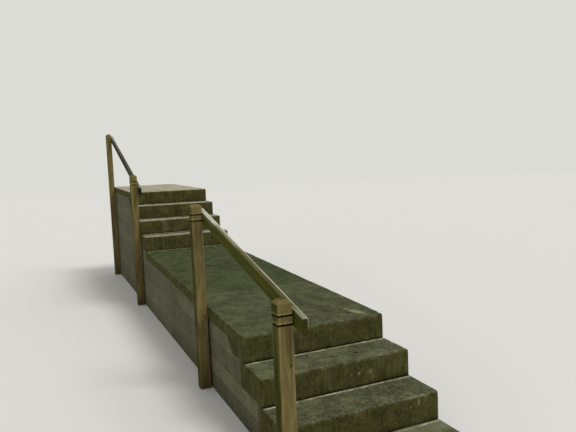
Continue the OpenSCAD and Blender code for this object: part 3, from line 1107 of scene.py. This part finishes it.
def random_checks(rng, start, end, half, count, width, depth, taken=()):
    """Drying cracks on the four sides, clear of each other and of those already there."""
    spread = list(taken)
    side_share = 0.8
    end_room = 0.05
    for number in range(count):
        side = number % 4
        reach = (half[side % 2] - CHECK_ROOM) * side_share
        at = rng.uniform(-reach, reach)
        middle = rng.uniform(start + end_room, end - end_room)
        span = rng.uniform(0.12, 0.55)
        share = rng.uniform(0.5, 1.0)
        check = new_check(rng, side, at, middle - span, middle + span, width * share, depth * share)
        if all(c["side"] != side or abs(c["at"] - at) > CHECK_ROOM for c in spread):
            spread.append(check)
    return spread


def cracked(column, s):
    """How a line of a crack is shifted along its side and sunk at a place, and how dark it is."""
    check = column["check"]
    if not check:
        return 0.0, 0.0, 0.0
    middle = (check["from"] + check["to"]) / 2
    reach = (check["to"] - check["from"]) / 2
    share = max(0.0, 1.0 - abs(s - middle) / reach) ** 0.5
    drift = CHECK_WANDER * math.sin(s * check["turns"] + check["phase"])
    wide = check["width"] / 2 * share + CHECK_TIP
    if column["role"] == 0:
        return drift, check["depth"] * share, min(1.0, share * 1.6)
    return drift + wide * column["role"], 0.0, 0.25 * share


def band(ring, inner):
    """Quads between two closed rings of vertices."""
    return list(zip(ring, ring[1:] + ring[:1], inner[1:] + inner[:1], inner))


def timber_mesh(name, columns, stations, half, knots, shift, top_green_and_shade, inset, ends, place, masks):
    """A mesh of lines along the timber.

    inset draws the section in, ends cuts the ends, place turns section and length into the
    frame, and masks gives dirt with painted shade, rubbing, and bleaching with painted light.
    """
    rng = random.Random(name)
    relief = [rng.uniform(0.0, FURROW) for _ in columns]
    verts, local = [], []
    kept = {"check": [], "arris": [], "bleach_and_painted_light": []}

    def add(column, across, s, pulled, dark, arris, at_end):
        a, b = [value * (size - pulled) / size for value, size in zip(across, half)]
        s = ends(s, b)
        verts.append(place(a, b, s))
        local.append((a, b, s))
        dirt_and_shade, rubbed, bleach_and_painted_light = masks(a, b, s, column["out"], at_end)
        # The dark mask holds cracks, dirt and painted shade
        kept["check"].append(max(dark, dirt_and_shade))
        kept["arris"].append(min(1.0, arris * rubbed))
        kept["bleach_and_painted_light"].append(bleach_and_painted_light)

    for s in stations:
        pulled = inset(s)
        for column, furrow in zip(columns, relief):
            sideways, sunk, dark = cracked(column, s)
            point = column["base"] + column["along"] * sideways - column["out"] * (furrow + sunk)
            add(column, point, s, pulled, dark, column["arris"], False)
    count = len(columns)
    rings = [list(range(row * count, (row + 1) * count)) for row in range(len(stations))]
    faces = [quad for low, high in zip(rings, rings[1:]) for quad in band(low, high)]
    side_faces = len(faces)
    # Both ends close in rings towards the middle
    for ring, s, step in ((rings[0], stations[0], -1), (rings[-1], stations[-1], 1)):
        pulled = inset(s)
        for share in END_RINGS:
            inner = list(range(len(verts), len(verts) + count))
            for column in columns:
                across = (column["base"].x * share, column["base"].y * share)
                add(column, across, s, pulled, 0.0, 0.0, True)
            faces += [quad[::step] for quad in band(ring, inner)]
            ring = inner
        faces.append(tuple(ring[::step]))
    mesh = bpy.data.meshes.new(name)
    mesh.from_pydata(verts, [], faces)
    local = np.array(local)
    store(mesh, "grain", local + shift, "FLOAT_VECTOR")
    for mask, values in kept.items():
        store(mesh, mask, values)
    strength = np.zeros(len(local))
    for knot in knots:
        gap = np.linalg.norm((local - knot[:3]) / (1, 1, KNOT_STRETCH), axis=1)
        strength = np.maximum(strength, spot(gap, knot[3]))
    store(mesh, "knot", strength)
    store(mesh, "endwise", np.arange(len(faces)) >= side_faces, domain="FACE")
    face_outwards(mesh, mesh)
    normals = np.array([polygon.normal for polygon in mesh.polygons])
    upward = np.clip(normals[:, 2], 0, 1)
    # Sides facing away from the lamp are painted green and dark: growth, and painted shade
    shaded = -normals[:, 0] * (1 - upward) + top_green_and_shade * upward
    store(mesh, "shaded", np.clip(shaded, 0, 1), domain="FACE")
    store(mesh, "low", np.clip(1 - points_of(mesh)[:, 2] / DAMP_HEIGHT, 0, 1))
    for polygon in mesh.polygons:
        polygon.use_smooth = True
    mesh.set_sharp_from_angle(angle=SHARP_ANGLE)
    return mesh


def even_stations(start, end, spacing, extra):
    """Places along a timber at an even spacing, with extra ones where its form turns."""
    count = max(2, round((end - start) / spacing))
    places = [start + (end - start) * i / count for i in range(count + 1)]
    kept = [
        p for p in places
        if all(abs(p - e) > STATION_CLEAR for e in extra) or p in (start, end)
    ]
    return sorted(kept + list(extra))


def random_knots(rng, count, half, start, end, largest):
    """Knots on the faces of a timber: place across it, place along it, radius."""
    knots = []
    for _ in range(count):
        side = rng.choice(SIDES)
        at = rng.uniform(-0.6, 0.6)
        a, b = [(way or at) * size for way, size in zip(side, half)]
        knots.append((a, b, rng.uniform(start, end), rng.uniform(0.55, 1.0) * largest))
    return knots


def eased(value, start, end):
    """A share that goes smoothly from nothing at one value to all at another."""
    share = min(1.0, max(0.0, (value - start) / (end - start)))
    return share * share * (3 - 2 * share)


def make_post(node, settings, finish, seed):
    """A square post with a bevelled head and two grooves round it."""
    low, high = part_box(node)
    x, y, _ = middle_of(node)
    half = ((high.x - low.x) / 2,) * 2
    top = high.z - low.z
    bevel_z = top - settings.bevel_height
    first_groove = bevel_z - settings.groove_drop
    grooves = (first_groove, first_groove - settings.groove_pitch)
    mouth = settings.groove_width / 2
    check_count = 9
    knot_count = 4
    largest_knot = 0.011
    # Heights that the knots keep to
    knots_from, knots_to = 0.25, top - 0.16

    def inset(s):
        if s >= bevel_z:
            return settings.bevel_inset * (s - bevel_z) / settings.bevel_height
        for groove in grooves:
            if abs(s - groove) < mouth:
                return settings.groove_depth * (1 - abs(s - groove) / mouth)
        return 0.0

    def masks(a, b, s, outward, at_end):
        above = [s - groove for groove in grooves]
        # The grooves are painted dark: dirt, and painted shade
        dirt_and_shade = 1.0 if min(abs(gap) for gap in above) < mouth + HAIR else 0.0
        rubbed = 0.35 if abs(s - bevel_z) < HAIR or at_end else 0.16
        # The lip just above each groove is painted pale as a highlight
        bleach_and_painted_light = 0.6 if any(mouth + HAIR < gap <= mouth + LIP + HAIR for gap in above) else 0.0
        if s > bevel_z:
            # The head's left plane is painted pale as in sunlight, and its front one is green
            bleach_and_painted_light = 0.07 - 0.06 * outward.x + 0.05 * outward.y
        return dirt_and_shade, rubbed, bleach_and_painted_light

    rng = random.Random(settings.seed * 100 + seed)
    checks = random_checks(
        rng, 0, top, half, check_count, settings.check_width, settings.check_depth)
    columns = section_columns(half, settings.ease, checks, POST_MESH[0])
    turns = (
        -mouth - DIRT_FADE, -mouth, -mouth / 2, 0, mouth / 2, mouth, mouth + DIRT_FADE, mouth + LIP)
    extra = [bevel_z, bevel_z - LIP] + [groove + turn for groove in grooves for turn in turns]
    stations = even_stations(0.0, top, POST_MESH[1], extra)
    knots = random_knots(rng, knot_count, half, knots_from, knots_to, largest_knot)
    shift = (rng.uniform(0.02, 0.05), rng.uniform(-0.02, 0.03), rng.uniform(0, 5))
    mesh = timber_mesh(
        "grained_" + node, columns, stations, half, knots, shift, POST_TOP_GREEN_AND_SHADE, inset,
        lambda s, b: s, lambda a, b, s: (x + a, y + b, low.z + s), masks)
    mesh.materials.append(finish)
    return new_piece("grained_" + node, mesh, [node])


def rail_slope(node, depth):
    """Slope of a rail with plumb ends, from its box and its depth."""
    low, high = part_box(node)
    run = high.y - low.y
    rise = high.z - low.z
    root = math.sqrt(run ** 2 + rise ** 2 - depth ** 2)
    return (rise * run - depth * root) / (run ** 2 - depth ** 2)


def make_rail(node, posts, greyed, low_bleach, settings, finish, seed):
    """A rail on edge, its ends cut plumb, its top bleached and painted sunlit in places, split along
    the fibres.
    """
    low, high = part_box(node)
    x, y, _ = middle_of(node)
    depth = settings.rail_depth
    slope = rail_slope(node, depth)
    angle = math.atan(slope)
    run = high.y - low.y
    full = run / math.cos(angle)
    start, end = -full / 2, full / 2
    top_level = high.z - slope * run / 2
    centre = Vector((x, y, top_level - depth / math.cos(angle) / 2))
    half = ((high.x - low.x) / 2, depth / 2)
    along = Vector((0, math.cos(angle), math.sin(angle)))
    square = Vector((0, -math.sin(angle), math.cos(angle)))
    # Middle and half width of each post along the run
    post_boxes = [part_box(post) for post in posts]
    spans = [((near.y + far.y) / 2, (far.y - near.y) / 2) for near, far in post_boxes]
    # Distances from the high end within which the top is painted pale as in sunlight all over
    # and at its right, and from the low end within which it is bleached again
    sunlit_reach = (0.52, 0.36)
    half_sunlit_reach = (1.03, 0.87)
    low_reach = (0.30, 0.08)
    # How near a post the rail's hidden side gets a painted shadow
    gap_shadow_reach = (0.010, 0.002)
    check_count = 12
    knot_count = 6
    largest_knot = 0.010
    end_edge = 0.005
    # The long split of the top: off its middle, from its low end, share of its length
    split_at, split_from, split_share = -0.0025, 0.05, 0.62

    def masks(a, b, s, outward, at_end):
        if at_end:
            bleach_and_painted_light = 0.6 * eased(a, half[0] * 0.62, half[0] * 0.92)
            bleach_and_painted_light *= eased(b, -half[1] * 0.5, half[1] * 0.2)
            rubbed = 0.0
        else:
            top_face = max(0.0, outward.y)
            right = eased(a, -half[0] * 0.15, half[0] * 0.30)
            across = 0.25 + 0.75 * eased(a, -half[0], -half[0] * 0.2)
            upper_part = eased(b, half[1] * 0.1, half[1] * 0.9)
            sunlit_high_end = eased(end - s, *sunlit_reach)
            half_sunlit = eased(end - s, *half_sunlit_reach)
            open_low = eased(end + s, *low_reach)
            # The top is bleached, and painted pale as sunlit near the high end
            top_bleach_and_sun = max(
                0.05 + 0.13 * half_sunlit, greyed, sunlit_high_end, low_bleach * open_low * across,
                right * (0.44 + 0.56 * half_sunlit))
            left_bleach_and_sun = max(greyed * 0.2, 0.22 * sunlit_high_end * upper_part)
            bleach_and_painted_light = max(top_face * top_bleach_and_sun, max(0.0, -outward.x) * left_bleach_and_sun)
            # The right arris is rubbed pale: partly wear, partly a painted highlight
            rubbed = 0.03 + 0.55 * top_face * right + 0.30 * max(0.0, outward.x)
        # The rail's hidden side is painted dark as shadow beside each post
        along_run = centre.y + s * math.cos(angle) - b * math.sin(angle)
        beside = min(abs(along_run - middle) - reach for middle, reach in spans)
        gap_shadow = eased(beside, *gap_shadow_reach) if outward.x < -0.5 else 0.0
        return 0.85 * gap_shadow, min(1.0, rubbed), min(1.0, bleach_and_painted_light)

    def place(a, b, s):
        return tuple(centre + Vector((a, 0, 0)) + square * b + along * s)

    rng = random.Random(settings.seed * 200 + seed)
    split = new_check(
        rng, RAIL_TOP, split_at, start + split_from, start + full * split_share,
        settings.check_width * 1.2, settings.check_depth)
    checks = random_checks(
        rng, start, end, half, check_count, settings.check_width, settings.check_depth * 0.8, [split])
    columns = section_columns(half, settings.ease, checks, RAIL_MESH[0])
    stations = even_stations(start, end, RAIL_MESH[1], [start + end_edge, end - end_edge])
    knots = random_knots(rng, knot_count, half, start, end, largest_knot)
    shift = (rng.uniform(0.03, 0.06), rng.uniform(0.02, 0.05), rng.uniform(0, 5))
    mesh = timber_mesh(
        "grained_" + node, columns, stations, half, knots, shift, RAIL_TOP_GREEN_AND_SHADE,
        lambda s: 0.0, lambda s, b: s + b * math.tan(angle), place, masks)
    mesh.materials.append(finish)
    return new_piece("grained_" + node, mesh, [node])


# Fixings

def bolts_tree():
    """A domed bolt head on a washer at each point, facing along X."""
    tree, given, gives = new_group(
        "Bolts", "GeometryNodeTree",
        {"Geometry": GEOMETRY, "Head": FLOAT, "Washer": FLOAT, "Thickness": FLOAT,
         "Finish": MATERIAL},
        {"Geometry": GEOMETRY})
    thickness = given["Thickness"]
    flattened = (1, 1, 0.5)
    to_x = (0, math.pi / 2, 0)

    def lifted(flow, height, scale=(1, 1, 1)):
        up = result(tree, "ShaderNodeCombineXYZ", {"Z": height})
        return result(
            tree, "GeometryNodeTransform", {"Geometry": flow, "Translation": up, "Scale": scale})

    washer = result(
        tree, "GeometryNodeMeshCylinder",
        {"Vertices": 28, "Radius": given["Washer"], "Depth": thickness})
    dome = result(
        tree, "GeometryNodeMeshUVSphere", {"Segments": 24, "Rings": 12, "Radius": given["Head"]})
    both = tree.nodes.new("GeometryNodeJoinGeometry")
    tree.links.new(lifted(washer, product(tree, thickness, 0.5)), both.inputs[0])
    tree.links.new(lifted(dome, thickness, flattened), both.inputs[0])
    made = result(
        tree, "GeometryNodeInstanceOnPoints",
        {"Points": given["Geometry"], "Instance": both.outputs[0], "Rotation": to_x})
    made = result(tree, "GeometryNodeRealizeInstances", {"Geometry": made})
    made = result(tree, "GeometryNodeSetShadeSmooth", {"Geometry": made})
    return end_tree(tree, made, given, gives)


def rail_bolts(rail, posts, tree, settings, finish, depth):
    """Two bolts through a rail at each post, seen on the stair side."""
    _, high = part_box(rail)
    slope = rail_slope(rail, depth)
    places = []
    for post in posts:
        y = middle_of(post)[1]
        middle = high.z - slope * (high.y - y) - depth / math.cos(math.atan(slope)) / 2
        for side in (-1, 1):
            places.append(
                (high.x, y + side * settings.stagger, middle + side * settings.spacing / 2))
    mesh = bpy.data.meshes.new("places")
    mesh.from_pydata(places, [], [])
    made = run_tree(mesh, tree, {
        "Head": settings.head, "Washer": settings.washer, "Thickness": settings.thickness,
        "Finish": finish,
    })
    return new_piece(rail + "_bolts", made)


# Operators

class STEPS_OT_treads(bpy.types.Operator):
    """Makes the worn treads and slabs"""
    bl_idname = "steps.treads"
    bl_label = "Worn treads and slabs"

    def execute(self, context):
        settings = context.scene.steps_concrete
        finish = concrete_material(settings)
        tree = worn_casting_tree()
        for number, (node, (spacing, bleach_and_painted_light, growth)) in enumerate(TREADS.items()):
            seed = number * TREAD_SEED_STEP
            worn_casting(node, spacing, bleach_and_painted_light, growth, tree, settings, finish, seed)
        return {"FINISHED"}


class STEPS_OT_walls(bpy.types.Operator):
    """Finishes the side and cross walls"""
    bl_idname = "steps.walls"
    bl_label = "Walls"

    def execute(self, context):
        finish = wall_material(context.scene.steps_concrete)
        for name in WALLS:
            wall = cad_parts[name]
            wall.data.materials.clear()
            wall.data.materials.append(finish)
        return {"FINISHED"}


class STEPS_OT_lime(bpy.types.Operator):
    """Lays the lime line in front of each riser"""
    bl_idname = "steps.lime"
    bl_label = "Lime lines"

    def execute(self, context):
        finish = lime_material(context.scene.steps_concrete)
        tree = lime_line_tree()
        for number, node in enumerate(RISERS):
            lime_line(node, tree, context.scene.steps_mortar, finish, number * LINE_SEED_STEP)
        return {"FINISHED"}


class STEPS_OT_posts(bpy.types.Operator):
    """Makes the four posts"""
    bl_idname = "steps.posts"
    bl_label = "Posts"

    def execute(self, context):
        settings = context.scene.steps_timber
        finish = wood_material(
            "Weathered pine post", settings, "post", settings.post_rings, seed=1.0)
        for number, node in enumerate(POSTS):
            make_post(node, settings, finish, number)
        return {"FINISHED"}


class STEPS_OT_rails(bpy.types.Operator):
    """Makes the two rails"""
    bl_idname = "steps.rails"
    bl_label = "Rails"

    def execute(self, context):
        settings = context.scene.steps_timber
        lower = wood_material(
            "Weathered pine rail", settings, "rail", settings.rail_rings, seed=2.0)
        upper = wood_material("Grey pine rail", settings, "grey", settings.rail_rings, seed=4.0)
        # How far each rail is greyed all over, and how far its low end is bleached
        weathering = ((0.0, 0.46, lower), (0.22, 1.0, upper))
        for number, (node, posts) in enumerate(RAILS.items()):
            greyed, low_bleach, finish = weathering[number]
            make_rail(node, posts, greyed, low_bleach, settings, finish, number)
        return {"FINISHED"}


class STEPS_OT_fixings(bpy.types.Operator):
    """Bolts the rails to the posts"""
    bl_idname = "steps.fixings"
    bl_label = "Rail bolts"

    def execute(self, context):
        settings = context.scene.steps_fixings
        finish = metal_material(settings)
        tree = bolts_tree()
        for rail, posts in RAILS.items():
            rail_bolts(rail, posts, tree, settings, finish, context.scene.steps_timber.rail_depth)
        return {"FINISHED"}


# Camera place in the row frame, its turn to the right, tip and roll, and its focal length in the
# photograph's pixels, fitted to the edges of both flights
CAMERA_PLACE = (-1.681, -6.473, 1.800)
CAMERA_TURN = math.radians(23.82)
CAMERA_TIP = math.radians(-4.85)
CAMERA_ROLL = math.radians(-2.38)
FOCAL_PIXELS = 545.0
PHOTO_WIDTH = 576.0
SENSOR_WIDTH = 36.0
FARTHEST_SEEN = 200.0
# Half the floor's width, the way that the key lamp shines, and how wide it looks
FLOOR_REACH = 60.0
KEY_WAY = (-0.42, 0.50, -0.95)
KEY_SPREAD = math.radians(25)


class STEPS_OT_stage(bpy.types.Operator):
    """Sets the floor, the lamps and the camera"""
    bl_idname = "steps.stage"
    bl_label = "Stage"

    def execute(self, context):
        settings = context.scene.steps_stage
        context.scene.view_settings.view_transform = "Standard"
        self.floor(settings)
        self.world(context.scene, settings)
        self.lamp(settings)
        self.camera(context.scene)
        return {"FINISHED"}

    def floor(self, settings):
        """A large pale floor under the steps."""
        mesh = bpy.data.meshes.new("floor")
        corners = ((-1, -1), (1, -1), (1, 1), (-1, 1))
        mesh.from_pydata(
            [(x * FLOOR_REACH, y * FLOOR_REACH, 0) for x, y in corners], [], [(0, 1, 2, 3)])
        finish, tree = new_material("Pale floor")
        shader = result(
            tree, "ShaderNodeBsdfPrincipled", {"Base Color": settings.floor, "Roughness": 0.9})
        add_node(tree, "ShaderNodeOutputMaterial", {"Surface": shader})
        mesh.materials.append(finish)
        floor = linked("floor", mesh)

    def world(self, scene, settings):
        """Even light from all sides, and a pale backdrop where the camera looks past the floor."""
        scene.world = bpy.data.worlds.new("Studio")
        scene.world.use_nodes = True
        tree = scene.world.node_tree
        tree.nodes.clear()
        path = add_node(tree, "ShaderNodeLightPath")
        lit = result(
            tree, "ShaderNodeBackground", {"Color": (1, 1, 1, 1), "Strength": settings.sky})
        seen = result(tree, "ShaderNodeBackground", {"Color": settings.backdrop, "Strength": 1.0})
        reflected = maths(tree, "MAXIMUM", path["Is Glossy Ray"], path["Is Transmission Ray"])
        shown = maths(tree, "MAXIMUM", path["Is Camera Ray"], reflected)
        both = result(tree, "ShaderNodeMixShader", {0: shown, 1: lit, 2: seen})
        add_node(tree, "ShaderNodeOutputWorld", {"Surface": both})

    def lamp(self, settings):
        """One broad soft lamp, high on the right."""
        lamp = bpy.data.lights.new("key", "SUN")
        lamp.energy = settings.key
        lamp.angle = KEY_SPREAD
        key = linked("key", lamp)
        key.rotation_mode = "QUATERNION"
        key.rotation_quaternion = Vector(KEY_WAY).to_track_quat("-Z", "Y")

    def camera(self, scene):
        """The photograph's camera."""
        lens = bpy.data.cameras.new("camera")
        lens.sensor_fit = "HORIZONTAL"
        lens.sensor_width = SENSOR_WIDTH
        lens.lens = FOCAL_PIXELS / PHOTO_WIDTH * SENSOR_WIDTH
        lens.clip_end = FARTHEST_SEEN
        camera = linked("camera", lens)
        turn = (
            Matrix.Rotation(-CAMERA_TURN, 4, "Z")
            @ Matrix.Rotation(math.pi / 2 + CAMERA_TIP, 4, "X")
            @ Matrix.Rotation(CAMERA_ROLL, 4, "Z")
        )
        camera.matrix_world = Matrix.Translation(CAMERA_PLACE) @ turn
        scene.camera = camera


class STEPS_PT_panel(bpy.types.Panel):
    """Lists the steps' operators"""
    bl_label = "Garden Steps"
    bl_idname = "STEPS_PT_panel"
    bl_space_type = "VIEW_3D"
    bl_region_type = "UI"
    bl_category = "Garden Steps"

    def draw(self, context):
        for operator in OPERATORS:
            self.layout.operator(operator.bl_idname)


SETTINGS = {
    "steps_concrete": ConcreteSettings,
    "steps_mortar": MortarSettings,
    "steps_timber": TimberSettings,
    "steps_fixings": FixingSettings,
    "steps_stage": StageSettings,
}
OPERATORS = [
    STEPS_OT_treads, STEPS_OT_walls, STEPS_OT_lime, STEPS_OT_posts,
    STEPS_OT_rails, STEPS_OT_fixings, STEPS_OT_stage,
]


def register():
    """Registers the settings, operators and panel."""
    for name, group in SETTINGS.items():
        bpy.utils.register_class(group)
        setattr(bpy.types.Scene, name, PointerProperty(type=group))
    for operator in OPERATORS:
        bpy.utils.register_class(operator)
    bpy.utils.register_class(STEPS_PT_panel)


def unregister():
    """Undoes register."""
    bpy.utils.unregister_class(STEPS_PT_panel)
    for operator in reversed(OPERATORS):
        bpy.utils.unregister_class(operator)
    for name, group in SETTINGS.items():
        delattr(bpy.types.Scene, name)
        bpy.utils.unregister_class(group)


def main():
    """Makes every piece and the stage."""
    register()
    sand_group()
    stain_group()
    wood_group()
    bpy.ops.steps.treads()
    bpy.ops.steps.walls()
    bpy.ops.steps.lime()
    bpy.ops.steps.posts()
    bpy.ops.steps.rails()
    bpy.ops.steps.fixings()
    bpy.ops.steps.stage()


if __name__ == "__main__":
    main()
